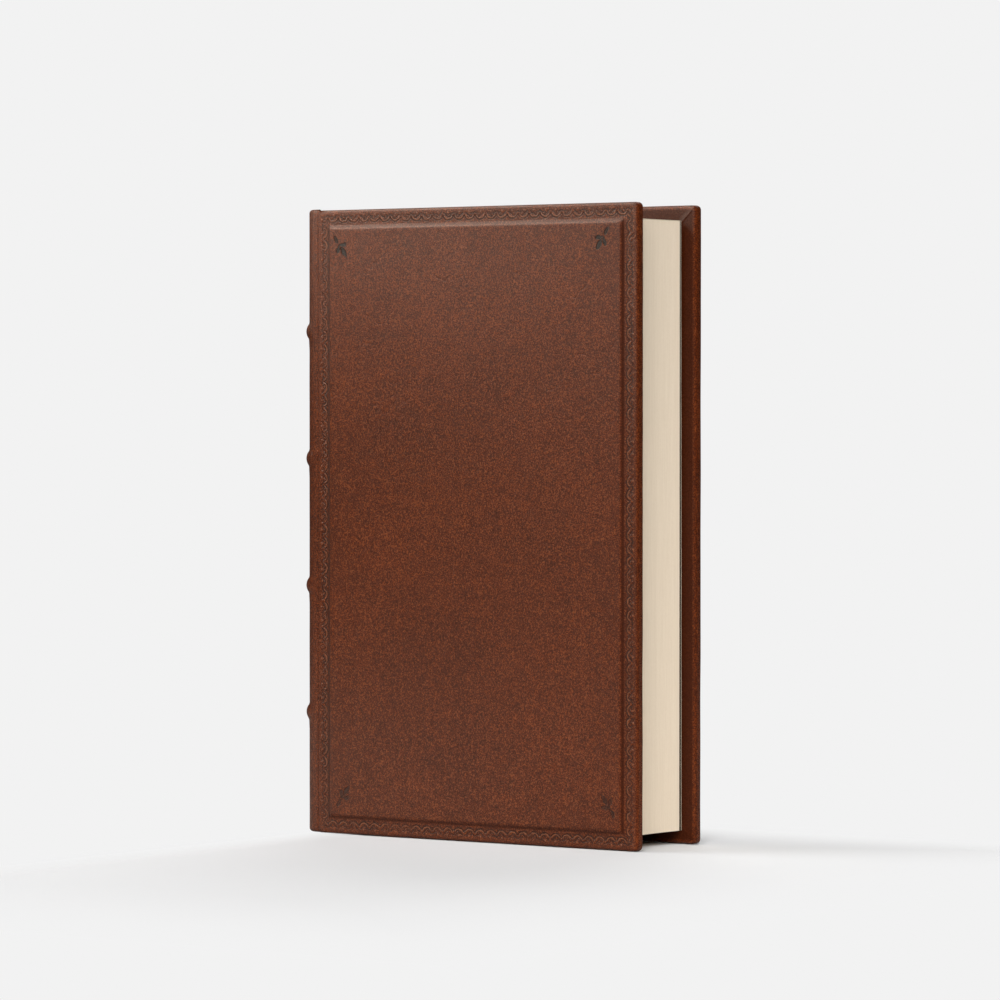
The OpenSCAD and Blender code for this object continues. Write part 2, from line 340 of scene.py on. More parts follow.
def scrollMasks(n, along, across, shake):
    # a running scroll: in each bend a bowl of two lines, a curl and leaves, turned about in every other one
    half = rollBorder["period"] / 2
    turn = n.times(along, 2 * math.pi / rollBorder["period"])
    side = n.maths("SIGN", n.maths("SINE", turn))
    away = n.minus(n.plus(across, n.times(shake, rollBorder["shake"])), rollBorder["middle"])
    fold = n.times(n.minus(n.maths("FLOORED_MODULO", along, half), half / 2), side)
    under = n.ramp(away, *rollBorder["bowlFrom"])
    bowl = ellipse(n, fold, away, *rollBorder["bowl"])
    bowlLine = n.times(under, n.onLine(bowl, *rollBorder["bowlLine"]))
    ridge = n.times(under, n.onLine(bowl, *rollBorder["bowlRidge"]))
    curl = n.onLine(ellipse(n, fold, away, *rollBorder["curl"]), *rollBorder["curlLine"])
    curl = n.times(curl, n.ramp(n.plus(fold, away), *rollBorder["curlOpen"]))
    leafEdge = rollBorder["leafEdge"]
    leaves = [n.ramp(ellipse(n, fold, away, *spot), *leafEdge, 1, 0) for spot in rollBorder["leaves"]]
    berry = n.ramp(ellipse(n, fold, away, *rollBorder["berry"]), *rollBorder["berryEdge"], 1, 0)
    roll = n.maths("MAXIMUM", n.maths("MAXIMUM", bowlLine, curl), n.maths("MAXIMUM", *leaves))
    ridge = n.maths("MAXIMUM", ridge, berry)
    outer, inner = rollBorder["band"]
    inBand = n.times(n.ramp(across, *outer), n.ramp(across, *inner, 1, 0))
    # the roll was pressed unevenly by hand
    inBand = n.times(inBand, n.ramp(n.noise(n.place(), 0.15, 3), 0.36, 0.56, 0.5, 1))
    return n.times(roll, inBand), n.times(ridge, inBand)


def stampMask(n, x, z, fromFore, fromHead, shake):
    # one fleuron in each corner of the panel
    atHead = n.maths("LESS_THAN", fromHead, z)
    atFore = n.maths("LESS_THAN", fromFore, x)
    centres = []
    for axis in (0, 1, 2):
        head = n.pick(atFore, fleuron["jointHead"][axis], fleuron["foreHead"][axis])
        tail = n.pick(atFore, fleuron["jointTail"][axis], fleuron["foreTail"][axis])
        centres.append(n.pick(atHead, tail, head))
    angle = n.maths("RADIANS", centres[2])
    dx = n.minus(centres[0], n.maths("MINIMUM", x, fromFore))
    dz = n.minus(centres[1], n.maths("MINIMUM", z, fromHead))
    c, s = n.maths("COSINE", angle), n.maths("SINE", angle)
    u = n.plus(n.times(dx, c), n.times(dz, s))
    v = n.minus(n.times(dz, c), n.times(dx, s))
    shakeU, shakeV = fleuron["shake"]
    u = n.plus(u, n.times(shake, shakeU))
    v = n.maths("ABSOLUTE", n.plus(v, n.times(shake, shakeV)))
    petal = leafShape(n, u, v, *fleuron["tipPetal"])
    leaf = leafShape(n, u, v, *fleuron["longLeaf"])
    lobe = ellipse(n, u, v, *fleuron["lobe"])
    neck = ellipse(n, u, v, *fleuron["neck"])
    nearest = n.maths("MINIMUM", n.maths("MINIMUM", petal, leaf), n.maths("MINIMUM", lobe, neck))
    # a fine raised vein runs down the long leaf
    vein = n.times(n.ramp(v, *fleuron["vein"], 1, 0), n.ramp(u, *fleuron["veinRun"]))
    stamp = n.times(n.ramp(nearest, *fleuron["edge"], 1, 0), n.maths("SUBTRACT", 1, vein, clamp=True))
    return n.times(stamp, n.ramp(z, *fleuron["faint"]))


def tooledPattern(n):
    # the rolled border, the painted shade at the panel's foot and the four corner stamps of a cover, as masks
    x, _, z = n.split()
    x = n.minus(x, book["creaseX"])
    fromFore = n.minus(book["coverWidth"], x)
    fromHead = n.minus(book["coverHeight"], z)
    sideways = n.maths("MINIMUM", x, fromFore)
    upright = n.maths("MINIMUM", z, fromHead)
    across = n.maths("MINIMUM", sideways, upright)
    level = n.maths("LESS_THAN", upright, sideways)
    along = n.pick(level, z, x)
    # the tools slipped and the grain broke their edges
    shake = n.minus(n.noise(n.place(), *leather["pores"]), 0.5)
    roll, ridge = scrollMasks(n, along, across, shake)
    # painted shade: a dark line at the foot of the panel's slope, stronger on the side slopes than at the head
    # and tail
    atJoint = n.maths("LESS_THAN", x, fromFore)
    footAt = n.pick(level, n.pick(atJoint, cover["panelFoot"], cover["jointFoot"]), cover["panelFoot"])
    foot = n.onLine(across, n.plus(footAt, panelFootShade["from"]), *panelFootShade["line"])
    foot = n.times(foot, n.pick(level, panelFootShade["sides"], panelFootShade["ends"]))
    return roll, ridge, foot, stampMask(n, x, z, fromFore, fromHead, shake)


def leatherFinish(name, tooled=False):
    n = Nodes(name)
    where = n.place()
    # slow changes of tone from hand dyeing, then blotches, grain and pores
    tone, mottle, pebble, pores, glintSpots = (
        n.noise(where, *leather[k]) for k in ("tone", "mottle", "pebble", "pores", "glintSpots"))
    specks = n.ramp(pebble, 0.4, 0.68)
    share = leather["levels"]
    level = n.plus(n.times(tone, share["tone"]), n.times(mottle, share["mottle"]))
    level = n.plus(level, n.times(specks, share["specks"]))
    level = n.plus(level, n.times(pores, share["pores"]))
    colour = n.mix(n.ramp(level, *leather["toMiddle"]), leather["deep"], leather["middle"])
    colour = n.mix(n.ramp(level, *leather["toLight"]), colour, leather["light"])
    # painted glints: pale specks on the grain stand in for glints of sheen
    colour = n.mix(n.ramp(glintSpots, 0.53, 0.64, 0, 0.38), colour, leather["paintedGlint"])
    grain = n.plus(n.plus(specks, n.times(pores, 0.8)), n.times(mottle, 0.9))
    # long shallow growth marks
    marks = n.noise(n.place((0.35, 1, 0.12)), *leather["marks"])
    crease = n.ramp(n.maths("ABSOLUTE", n.minus(marks, 0.5)), 0.0, 0.02, 0.035, 0)
    height = n.minus(n.times(grain, leather["grain"]), crease)
    rough = n.ramp(specks, 0, 1, leather["roughness"] + 0.1, leather["roughness"] - 0.05)
    if tooled:
        # painted shade: the turned-in leather, in the recess behind the pages, is mixed towards the deep colour
        turnedIn = n.attribute("turnedIn")
        colour = n.mix(n.times(turnedIn, 0.8), colour, leather["deep"])
        onFace = n.attribute("tooledFace")
        roll, ridge, foot, stamp = (n.times(mask, onFace) for mask in tooledPattern(n))
        height = n.minus(height, n.times(roll, leather["rollDepth"]))
        height = n.plus(height, n.times(ridge, leather["rollDepth"] * leather["ridgeShare"]))
        height = n.minus(height, n.times(stamp, leather["stampDepth"]))
        # painted shade at the foot of the panel's slope
        colour = n.mix(foot, colour, leather["deep"])
        # the impressions are darker: partly the tool's darkening, partly painted shade in the hollows
        colour = n.mix(n.times(roll, 0.75), colour, leather["tooled"])
        # painted highlight on the raised lines of the roll
        colour = n.mix(n.times(ridge, 0.45), colour, leather["ridge"])
        colour = n.mix(stamp, colour, leather["stamped"])
        rough = n.minus(rough, n.times(stamp, 0.08))
        rough = n.plus(rough, n.times(turnedIn, 0.25))
        rough = n.plus(rough, n.times(foot, 0.3))
    return n.finish(colour, height, rough, leather["specular"])


# Paper, card, cloth and thread

paper = {
    "edge": paint(245, 230, 208),
    "edgeDark": paint(238, 222, 199),
    "leaf": paint(240, 230, 211),
    "fibre": paint(228, 216, 194),
    # painted shade for the head of the pages, and how deep it runs down from the head
    "headShade": paint(212, 197, 172),
    "headShadeDepth": (0.45, 0.1),
    "inShade": paint(46, 40, 31),
    "inShadeLight": paint(62, 54, 42),
    "roughness": 0.9,
    "specular": 0.2,
}
card = {
    "dark": paint(118, 110, 98),
    "light": paint(152, 144, 130),
    "fleck": paint(92, 84, 74),
    "roughness": 0.92,
}
lining = {
    "pitch": 0.7,
    "gap": paint(196, 188, 168),
    "thread": paint(226, 220, 204),
    "roughness": 0.95,
}
thread = {
    "dark": paint(184, 162, 122),
    "light": paint(214, 196, 160),
    "roughness": 0.75,
    "sheen": 0.2,
}


def pageEdgeFinish():
    n = Nodes("trimmedPages")
    # sheets lie across the thickness, so the lines run along the other two ways
    sheets = n.noise(n.place((0.03, 1, 0.02)), 3.2, 3, 0.6)
    sections = n.noise(n.place((0.015, 1, 0.01)), 0.5, 3, 0.6)
    grain = n.noise(n.place(), 1.2, 4, 0.6)
    level = n.plus(n.times(sheets, 0.55), n.times(sections, 0.3))
    level = n.plus(level, n.times(grain, 0.25))
    colour = n.mix(n.ramp(level, 0.38, 0.72), paper["edgeDark"], paper["edge"])
    # painted shade: the head of the pages is painted darker against the strong light that falls on it from above
    low, high = (book["pagesHigh"] - depth for depth in paper["headShadeDepth"])
    colour = n.mix(n.ramp(n.split()[2], low, high, 0, 0.85), colour, paper["headShade"])
    height = n.plus(n.times(sheets, 0.05), n.times(grain, 0.015))
    return n.finish(colour, height, paper["roughness"], paper["specular"])


def endpaperFinish():
    n = Nodes("endpaper")
    fibres = n.noise(n.place((1, 1, 0.35)), 0.9, 5, 0.7, 0.8)
    clouds = n.noise(n.place(), 0.06, 3)
    level = n.plus(n.times(fibres, 0.7), n.times(clouds, 0.4))
    colour = n.mix(n.ramp(level, 0.35, 0.75), paper["fibre"], paper["leaf"])
    return n.finish(colour, n.times(fibres, 0.02), paper["roughness"], paper["specular"])


def shadedPaperFinish():
    n = Nodes("shadedPaper")
    fibres = n.noise(n.place((1, 1, 0.35)), 0.9, 4, 0.7)
    return n.finish(n.mix(fibres, paper["inShade"], paper["inShadeLight"]), None, 1, 0)


def cardFinish():
    n = Nodes("greyCard")
    fibres = n.noise(n.place((1, 3, 1)), 0.7, 5, 0.7)
    flecks = n.ramp(n.noise(n.place(), 1.6, 2), 0.62, 0.72, 0, 0.5)
    colour = n.mix(flecks, n.mix(fibres, card["dark"], card["light"]), card["fleck"])
    return n.finish(colour, n.times(fibres, 0.06), card["roughness"])


def liningFinish():
    n = Nodes("liningCloth")
    # open weave: threads along the height and round the back
    _, y, z = n.split()
    turns = 2 * math.pi / lining["pitch"]
    warp = n.maths("SINE", n.times(y, turns))
    weft = n.maths("SINE", n.times(z, turns))
    weave = n.times(n.plus(n.times(warp, weft), 1), 0.5)
    return n.finish(n.mix(weave, lining["gap"], lining["thread"]), n.times(weave, 0.08), lining["roughness"])


def threadFinish():
    n = Nodes("endBandThread")
    strands = n.noise(n.place(), 2.4, 3, 0.6)
    n.shader.inputs["Sheen Weight"].default_value = thread["sheen"]
    return n.finish(n.mix(strands, thread["dark"], thread["light"]), n.times(strands, 0.04), thread["roughness"])


coverFinish = leatherFinish("tooledCoverLeather", tooled=True)
hideFinish = leatherFinish("spineLeather")
pagesFinish = pageEdgeFinish()
leafFinish = endpaperFinish()
shadedFinish = shadedPaperFinish()
boardFinish = cardFinish()
clothFinish = liningFinish()
bandFinish = threadFinish()
print("finishes made")

nodeFinishes = {
    "text_block": pagesFinish,
    "front_flyleaf": leafFinish,
    "front_pastedown": leafFinish,
    "back_pastedown": leafFinish,
    "spine_lining": clothFinish,
    "spine_liner": boardFinish,
    "front_board": boardFinish,
    "back_board": boardFinish,
    "front_panel_card": boardFinish,
    "back_panel_card": boardFinish,
    "band_core_1": boardFinish,
    "band_core_2": boardFinish,
    "band_core_3": boardFinish,
    "band_core_4": boardFinish,
}
for nodeName, finish in nodeFinishes.items():
    nodes[nodeName].data.materials.clear()
    nodes[nodeName].data.materials.append(finish)


# Leather over a cover board

def coverProfile():
    # inset from the outline and depth below the border face, from the panel's middle to the turned-in edge
    rings = []
    for inset in cover["panelRings"]:
        swell = cover["cushion"] * float(smoothStep(*cover["cushionSpan"], inset))
        rings.append((inset, -cover["panelRise"] - swell))
    low, high = cover["bevel"]
    for k in range(cover["bevelSteps"] + 1):
        inset = high - (high - low) * k / cover["bevelSteps"]
        rings.append((inset, -cover["panelRise"] * float(smoothStep(low, high, inset))))
    for inset in cover["borderRings"]:
        rings.append((inset, 0.0))
    faceRings = len(rings) + 1
    r, t = cover["edgeRound"], book["coverThick"]
    turns = [math.radians(15 * k) for k in range(cover["edgeSteps"])]
    for a in turns:
        rings.append((r - r * math.sin(a), r - r * math.cos(a)))
    rings.append((0.0, t / 2))
    for a in turns:
        rings.append((r - r * math.cos(a), t - r + r * math.sin(a)))
    for inset in cover["pastedRings"] + (cover["turnIn"],):
        rings.append((inset, t))
    rings.append((cover["turnIn"] + 0.1, book["boardFace"] + 0.05))
    return rings, faceRings


def cornerArc(cx, cz, radius, start):
    last = cover["cornerPoints"] - 1
    turns = [math.radians(start - 90 * k / last) for k in range(last + 1)]
    return [(cx + radius * math.cos(a), cz + radius * math.sin(a)) for a in turns]


def coverRing(inset, onFace):
    # points round the cover, from the joint's tail end up the joint side and clockwise
    w, h = book["coverWidth"], book["coverHeight"]
    foot = cover["panelFoot"]
    if inset >= foot:
        left = inset - foot + cover["jointFoot"]
    else:
        slope = (cover["jointFoot"] - cover["jointEdge"]) * max(inset - 1, 0) / (foot - 1)
        left = cover["jointEdge"] + slope
    if not onFace:
        left = cover["jointEdge"]
    right, low, high = w - inset, inset, h - inset
    outer = max(cover["cornerRound"] - inset, 0.3)
    fore = outer if inset < 1.5 else min(0.3 + 0.2 * (inset - 1.5), 0.9 if onFace else 0.5)
    joint = min(0.05 + 0.2 * max(inset - 1, 0), 0.9) if onFace else 0.05
    points = []
    points += cornerArc(left + joint, low + joint, joint, 270)
    side = max(int(h / cover["step"]), 2)
    top = max(int(w / cover["step"]), 2)
    for k in range(1, side):
        points.append((left, low + joint + (high - low - 2 * joint) * k / side))
    points += cornerArc(left + joint, high - joint, joint, 180)
    for k in range(1, top):
        points.append((left + joint + (right - left - joint - fore) * k / top, high))
    points += cornerArc(right - fore, high - fore, fore, 90)
    for k in range(1, side):
        points.append((right, high - fore - (high - low - 2 * fore) * k / side))
    points += cornerArc(right - fore, low + fore, fore, 0)
    for k in range(1, top):
        points.append((right - fore - (right - left - joint - fore) * k / top, low))
    # where each corner's arc starts in the ring
    arc = cover["cornerPoints"]
    marks = {
        "jointHead": arc + side - 1,
        "foreHead": 2 * arc + side - 1 + top - 1,
        "foreTail": 3 * arc + 2 * (side - 1) + top - 1,
    }
    return points, marks


def coverLeather(name, back):
    rings, faceRings = coverProfile()
    points, faceness, turnedInMask = [], [], []
    pastedFrom = len(rings) - len(cover["pastedRings"]) - 2
    seed = 7.3 if back else 2.1
    for k, (inset, depth) in enumerate(rings):
        onFace = k < faceRings
        ring, marks = coverRing(inset, onFace)
        count = len(ring)
        for j, (x, z) in enumerate(ring):
            y = depth
            y += cover["handmade"] * wobble(x, 0, z, 16, seed) * (1 if k < faceRings + 4 else 0.4)
            if k >= pastedFrom:
                # the mitre's overlap stands up a little at both corners of the turned-in leather
                for corner in ("foreHead", "foreTail"):
                    if 1 <= j - marks[corner] <= 4:
                        y += cover["mitreRise"]
            if 1 < inset < 5:
                y += cover["borderWaver"] * wobble(x, 3, z, 5, seed)
            edge = cover["edgeWaver"] * wobble(x, depth, z, 22, seed + 4) if inset < 1.2 else 0
            points.append((x + edge * (x > 60), y, z))
            faceness.append(1.0 if onFace else 0.0)
            turnedInMask.append(1.0 if k >= pastedFrom else 0.0)
    faces = [tuple(range(count - 1, -1, -1))]
    wrapFrom = marks["jointHead"] + cover["cornerPoints"] - 1
    for k in range(len(rings) - 1):
        for j in range(count):
            nextJ = (j + 1) % count
            if k >= faceRings - 1 and j < wrapFrom:
                continue
            a, b = k * count + j, k * count + nextJ
            faces.append((a, b, b + count, a + count))
    # close the wrapped edges where they end at the joint
    wrapped = range(faceRings - 1, len(rings))
    faces.append(tuple(k * count + wrapFrom for k in wrapped))
    faces.append(tuple(k * count for k in reversed(wrapped)))
    piece = makePiece(name, points, faces, coverFinish, back)
    storeValues(piece, "tooledFace", faceness)
    # the turnedIn values also place the painted shade on the turned-in leather
    storeValues(piece, "turnedIn", turnedInMask)
    dropLoose(piece)
    return piece


def dropLoose(piece):
    bm = bmesh.new()
    bm.from_mesh(piece.data)
    loose = [v for v in bm.verts if not v.link_faces]
    bmesh.ops.delete(bm, geom=loose, context="VERTS")
    bm.to_mesh(piece.data)
    bm.free()


for side, back in (("front", False), ("back", True)):
    piece = coverLeather(side + "CoverLeather", back)
    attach(piece, bodies[side])
    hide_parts(side + "_leather")
print("covers dressed")


# Spine leather

spine = {
    "rise": 9.0,
    "shoulder": 6.2,
    "flank": 0.8,
    "drop": 0.5,
    "skinEdge": 0.42,        # how far the spine skin stops short of the crease
    "height": 210.4,
    "capRound": 1.2,
    "capTurnIn": 12.0,
    "bandFirst": 40.6,
    "bandPitch": 42.9,
    "bandCount": 4,
    "bandRise": 1.5,
    "bandTop": 3.0,
    "bandCove": 1.5,
    "bandBody": 0.88,        # share of the core's rise that shows through the leather
    "slump": (0.16, 3.6, 1.6),
    "uneven": 0.05,
}


def spineStations(shoulderSteps=16, crownSteps=36):
    half = book["halfThick"]
    lift = spine["rise"] - spine["flank"]
    gap = half - spine["drop"] - spine["shoulder"]
    crown = (lift ** 2 + gap ** 2 - spine["shoulder"] ** 2) / (2 * (lift - spine["shoulder"]))
    bend = math.degrees(math.asin(gap / (crown - spine["shoulder"])))

    def station(cx, cy, radius, angle, share):
        a = math.radians(angle)
        normal = (-math.cos(a), -math.sin(a))
        return (cx + radius * normal[0], cy + radius * normal[1]), normal, share

    def fade(angle):
        return (math.cos(math.radians(angle)) / math.cos(math.radians(bend))) ** 2

    low = spine["drop"] + spine["shoulder"]
    stations = [((-spine["skinEdge"], spine["drop"]), (0, -1), 0.0)]
    for i in range(shoulderSteps + 1):
        angle = 90 - i * (90 - bend) / shoulderSteps
        stations.append(station(-spine["flank"], low, spine["shoulder"], angle, fade(angle)))
    for i in range(1, crownSteps):
        stations.append(station(crown - spine["rise"], half, crown, bend - 2 * bend * i / crownSteps, 1.0))
    for i in range(shoulderSteps + 1):
        angle = -bend - i * (90 - bend) / shoulderSteps
        stations.append(station(-spine["flank"], 2 * half - low, spine["shoulder"], angle, fade(angle)))
    stations.append(((-spine["skinEdge"], 2 * half - spine["drop"]), (0, 1), 0.0))
    return stations


def bandHeight(dz):
    # round top that runs through a hollow into the spine, drawn out a little on the tail side
    top, cove, rise = spine["bandTop"], spine["bandCove"], spine["bandRise"]
    bend = math.acos(1 - rise / (top + cove))
    foot = (top + cove) * math.sin(bend)
    height, below, width = spine["slump"]
    slump = height * math.exp(-((dz + below) / width) ** 2)
    dz = abs(dz)
    if dz < top * math.sin(bend):
        body = rise - top + math.sqrt(top ** 2 - dz ** 2)
    elif dz < foot:
        body = cove - math.sqrt(cove ** 2 - (foot - dz) ** 2)
    else:
        body = 0.0
    return body * spine["bandBody"] + slump


def spineRows():
    # depth below the spine's face, band height, z; from inside the tail, up the face and over the head
    r, h = spine["capRound"], spine["height"]
    rows = [(2 * r, 0, r + spine["capTurnIn"]), (2 * r, 0, r + 6)]
    for k in range(12, -1, -1):
        a = math.radians(15 * k)
        rows.append((r - r * math.cos(a), 0, r - r * math.sin(a)))
    bands = [spine["bandFirst"] + i * spine["bandPitch"] for i in range(spine["bandCount"])]
    z = r
    while z < h - r:
        near = min(abs(z - b) for b in bands)
        z += 0.32 if near < 4.0 else 1.2 if near < 8 else 2.4
        near = min(bands, key=lambda b: abs(z - b))
        if z < h - r - 0.3:
            rows.append((0, bandHeight(z - near), z))
    for k in range(13):
        a = math.radians(15 * k)
        rows.append((r - r * math.cos(a), 0, h - r + r * math.sin(a)))
    rows += [(2 * r, 0, h - r - 6), (2 * r, 0, h - r - spine["capTurnIn"])]
    return rows


def spineSkin():
    rows, stations = spineRows(), spineStations()
    points = []
    for depth, band, z in rows:
        for (px, py), (nx, ny), share in stations:
            out = band * share - depth
            if depth == 0:
                out += spine["uneven"] * wobble(px, py, z, 12, 5.5) * min(share, 1)
            points.append((px + out * nx, py + out * ny, z))
    return makePiece("spineLeatherSkin", points, gridFaces(len(rows), len(stations)), hideFinish)


skin = spineSkin()
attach(skin, bodies["block"])
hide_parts("spine_leather")
print("spine dressed")


# Joint leather between the spine and a cover

joint = {
    "outer": [(1.1, 0.1), (0.75, 0.03), (0.58, 0.05), (0.42, 0.16), (0.26, 0.4), (0.1, 0.58),
              (-0.08, 0.64), (-0.26, 0.6), (-0.42, 0.52), (-0.6, 0.53), (-0.8, 0.58)],
    "inner": [(-0.8, 0.75), (-0.3, 0.95), (0.1, 0.98), (0.4, 0.75), (0.7, 0.5), (1.1, 0.4)],
    "tailLevels": [0.2, 0.35, 0.8],
    "headLevels": [209.4, 209.85, 210.0],
    "firstLevel": 1.5,
    "levelStep": 2.6,
    "levelCount": 80,
    "endSink": (0.28, 0.1, 0.0),      # how far the ends round in
    "bendFrom": -0.35,
    "bendTo": 0.5,
    "bendDepth": 0.3,
}


def jointLeather(name, back):
    section = joint["outer"] + joint["inner"]
    between = [joint["firstLevel"] + joint["levelStep"] * k for k in range(joint["levelCount"])]
    levels = joint["tailLevels"] + between + joint["headLevels"]
    points = []
    for i, z in enumerate(levels):
        edge = min(i, len(levels) - 1 - i)
        sink = joint["endSink"][min(edge, 2)]
        for k, (x, y) in enumerate(section):
            outer = k < len(joint["outer"])
            points.append((x, y + (sink if outer else -sink), z))
    count = len(section)
    faces = gridFaces(len(levels), count, closed=True)
    faces.append(tuple(range(count)))
    faces.append(tuple((len(levels) - 1) * count + k for k in reversed(range(count))))
    return makePiece(name, points, faces, hideFinish, back)


def bendAcross(piece, bend, back):
    middle = book["coverHeight"] / 2
    start, end = ((bend[k], bend["bendDepth"], middle) for k in ("bendFrom", "bendTo"))
    a, b = inFrame([start, end], back)
    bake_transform(piece)


for side, back in (("front", False), ("back", True)):
    strip = jointLeather(side + "JointLeather", back)
    bendAcross(strip, joint, back)


# Endpaper folded down into the joint

hinge = {
    "path": [(-0.05, 4.3), (0.05, 4.15), (0.08, 3.5), (0.08, 2.4), (0.08, 1.5), (0.13, 1.2), (0.24, 1.08),
             (0.38, 1.08), (0.49, 1.2), (0.54, 1.5), (0.54, 2.4), (0.54, 3.5), (0.62, 3.78), (0.8, 3.88),
             (1.2, 3.89), (2.0, 3.88)],
    "tailGap": 2.8,
    "headGap": 2.2,
    "levelCount": 60,
    "bendFrom": 0.1,
    "bendTo": 0.52,
    "bendDepth": 1,
}


def hingePaper(name, back):
    low, high = book["pagesLow"] + hinge["tailGap"], book["pagesHigh"] - hinge["headGap"]
    levels = np.linspace(low, high, hinge["levelCount"])
    points = [(x, y, z) for z in levels for x, y in hinge["path"]]
    return makePiece(name, points, gridFaces(len(levels), len(hinge["path"])), leafFinish, back)


for side, back in (("front", False), ("back", True)):
    fold = hingePaper(side + "HingePaper", back)
    bendAcross(fold, hinge, back)
print("joints covered")


# Free endpaper at the back, which stands off the pages towards the tail

leaf = {
    "thick": 0.22,
    "lift": 0.06,            # off the pages all over
    "standOff": 1.12,        # at the fore-edge's tail corner
    "headShare": 0.45,       # of that at the head
    "waver": 0.05,
    "short": 0.1,            # how far the fore-edge stays behind the pages
    "columns": 50,
    "rows": 60,
}


def backLeaf():
    points = []
    for side in (0, 1):
        for i in range(leaf["rows"]):
            v = i / (leaf["rows"] - 1)
            z = book["pagesLow"] + (book["pagesHigh"] - book["pagesLow"]) * v
            for j in range(leaf["columns"]):
                u = j / (leaf["columns"] - 1)
                x = (book["pagesEdge"] - leaf["short"]) * u
                share = leaf["headShare"] + (1 - leaf["headShare"]) * (1 - v) ** 0.6
                off = leaf["lift"] + leaf["standOff"] * u ** 0.9 * share
                off += leaf["waver"] * wobble(x, 0, z, 30, 3.3) * u
                points.append((x, book["pagesBack"] + off + side * leaf["thick"], z))
    n = leaf["rows"] * leaf["columns"]
    near = gridFaces(leaf["rows"], leaf["columns"])
    faces = near + [tuple(n + k for k in reversed(f)) for f in near]
    c, r = leaf["columns"], leaf["rows"]
    rim = list(range(c)) + [i * c + c - 1 for i in range(1, r)]
    rim += [(r - 1) * c + j for j in range(c - 2, -1, -1)] + [i * c for i in range(r - 2, 0, -1)]
    for k in range(len(rim)):
        a, b = rim[k], rim[(k + 1) % len(rim)]
        faces.append((b, a, a + n, b + n))
    piece = makePiece("backEndpaperLeaf", points, faces, leafFinish, smooth=False)
    # its side towards the pages lies in their shade
    piece.data.materials.append(shadedFinish)
    for face in piece.data.polygons[:len(near)]:
        face.material_index = 1
    return piece


sheet = backLeaf()
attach(sheet, bodies["block"])
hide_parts("back_flyleaf")
print("endpapers laid")


# Thread-wound bands at both ends of the pages' back

endBand = {"radius": 1.1, "depth": 2.9, "windings": 84, "windingSteps": 5, "around": 12, "ripple": 0.09}


def woundBand(name, top):
    stations = spineStations(24, 60)[1:-1]
    line = []
    r = endBand["radius"]
    inward = endBand["depth"] + r
    for (px, py), (nx, ny), _ in stations:
        line.append(Vector((px - inward * nx, py - inward * ny, 0)))
    lengths = [0.0]
    for a, b in zip(line, line[1:]):
        lengths.append(lengths[-1] + (b - a).length)
    steps = endBand["windings"] * endBand["windingSteps"]
    last = len(lengths) - 1
    points = []
    for i in range(steps + 1):
        s = lengths[-1] * i / steps
        k = min(max(next((m for m, reached in enumerate(lengths) if reached > s), last), 1), last)
        t = (s - lengths[k - 1]) / (lengths[k] - lengths[k - 1])
        centre = line[k - 1].lerp(line[k], t)
        along = (line[k] - line[k - 1]).normalized()
        out = Vector((along.y, -along.x, 0))
        ripple = endBand["ripple"] * math.cos(2 * math.pi * i / endBand["windingSteps"])
        bulge = r + ripple - endBand["ripple"]
        for j in range(endBand["around"] + 1):
            a = math.pi * j / endBand["around"]
            p = centre + out * bulge * math.cos(a)
            z = bulge * math.sin(a)
            points.append((p.x, p.y, book["pagesHigh"] + z if top else book["pagesLow"] - z))
    return makePiece(name, points, gridFaces(steps + 1, endBand["around"] + 1), bandFinish)


for name, node, top in (("headBandThread", "head_band", True), ("tailBandThread", "tail_band", False)):
    piece = woundBand(name, top)
    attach(piece, bodies["block"])
    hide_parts(node)
print("end bands wound")


# Camera, from the fit to the photograph's corners

view = {
    "place": (1043.9, -1365.2, 143.4),
    "turn": -35.351,
    "pitch": 1.035,
    "roll": 0.018,
    "sensor": 36,
    "lens": 5088.0 * 36 / 1000,      # focal length from pixels of a picture 1000 wide
    "clip": (0.05, 50),
}


def makeCamera():
    turn, pitch, roll = (math.radians(view[k]) for k in ("turn", "pitch", "roll"))
    level = math.cos(pitch)
    ahead = Vector((math.sin(turn) * level, math.cos(turn) * level, -math.sin(pitch)))
    right = Vector((math.cos(turn), -math.sin(turn), 0))
    up = right.cross(ahead)
    c, s = math.cos(roll), math.sin(roll)
    right, up = c * right + s * up, -s * right + c * up
    data = bpy.data.cameras.new("studioCamera")
    data.lens = view["lens"]
    data.sensor_width = view["sensor"]
    data.clip_start, data.clip_end = view["clip"]
    camera = bpy.data.objects.new("studioCamera", data)
    bpy.context.scene.collection.objects.link(camera)
    camera.matrix_world = Matrix((
        (right.x, up.x, -ahead.x, 0), (right.y, up.y, -ahead.y, 0), (right.z, up.z, -ahead.z, 0), (0, 0, 0, 1)
    ))
    camera.location = inFrame([view["place"]])[0]
    bpy.context.scene.camera = camera


makeCamera()

# Studio

studio = {
    "background": paint(242, 242, 242),
    "world": 0.05,
    "floor": 0.708,
    "floorBounce": (0.5, 0.45, 0.4, 1),      # the floor's tone as the book sees it
    "floorRadius": 0.5,
    "floorSides": 72,
    "floorDrop": 0.0002,
    # millimetres from the middle over which the floor runs into the background: right, left, back, front
    "fade": ((90, 220), (38, 66), (20, 80), (200, 330)),
    "suns": [
        # name, strength, angle across in degrees, the way to it (x, y, z)
        ("keyLight", 3.65, 45, (0.62, -0.79, 0.75)),
        ("backLight", 1.0, 36, (-0.4, 0.88, 1.03)),
        ("leftLight", 1.15, 34, (-0.9, -0.5, 1.0)),
    ],
    "sheenSun": "backLight",                 # the only sun that the leather reflects
    "sheenColour": (1.0, 0.86, 0.72),
    "strips": [
        # name, watts, width and height, place, what it faces; they only give the leather its sheen
        ("headSheen", 0.31, (0.36, 0.03), (-0.095, -0.152, 0.23), (0.0, -0.019, 0.2)),
        ("footSheen", 0.1, (0.36, 0.012), (-0.095, -0.152, 0.008), (0.0, -0.019, 0.002)),
        ("bevelSheen", 5.4, (0.3, 0.2), (-0.3, -0.23, 0.56), (0.0, -0.019, 0.2)),
    ],
}


